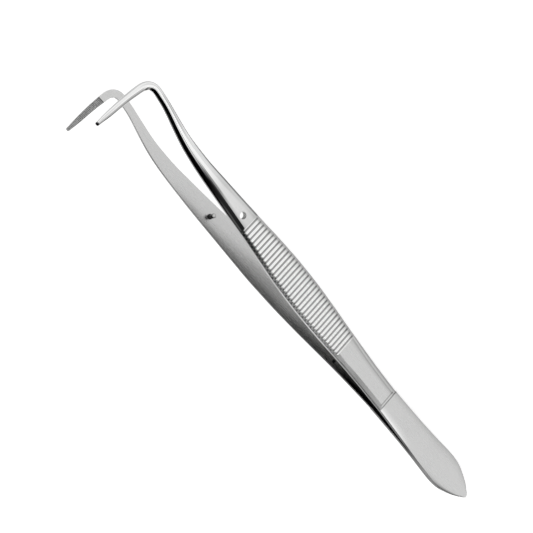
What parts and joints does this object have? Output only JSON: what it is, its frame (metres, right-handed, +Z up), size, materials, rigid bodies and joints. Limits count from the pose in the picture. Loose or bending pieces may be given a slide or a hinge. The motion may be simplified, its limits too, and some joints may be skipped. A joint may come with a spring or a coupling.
{
  "type": "curved tweezers",
  "caption": "Steel spring tweezers with a leaf-shaped welded tail, a cross-grooved finger grip, a guide pin and a hole opposite it, and slim tips bent up at a right angle.",
  "frame": {"origin": "middle of the part's length and of its opening width, on the surface that it lies on", "axes": "+X from the welded tail towards the bent tips, +Z up along the bent tips, Y the way the arms open, front arm at -Y"},
  "size_m": [0.1518, 0.0248, 0.0188],
  "materials": {
    "satin_steel": "satin ground stainless steel, polished forward of the grip",
    "pin_steel": "polished stainless steel"
  },
  "bodies": {
    "front": {"front_arm": "satin_steel"},
    "rear": {"rear_arm": "satin_steel", "guide_pin": "pin_steel"}
  },
  "joints": [
    {"name": "squeeze", "type": "hinge", "parent": "front", "child": "rear", "pos_m": [-0.05494, 0, 0.0048], "axis": [0, 0, -1], "range_deg": [0, 8.6], "stiffness_Nm_per_rad": 1}
  ]
}
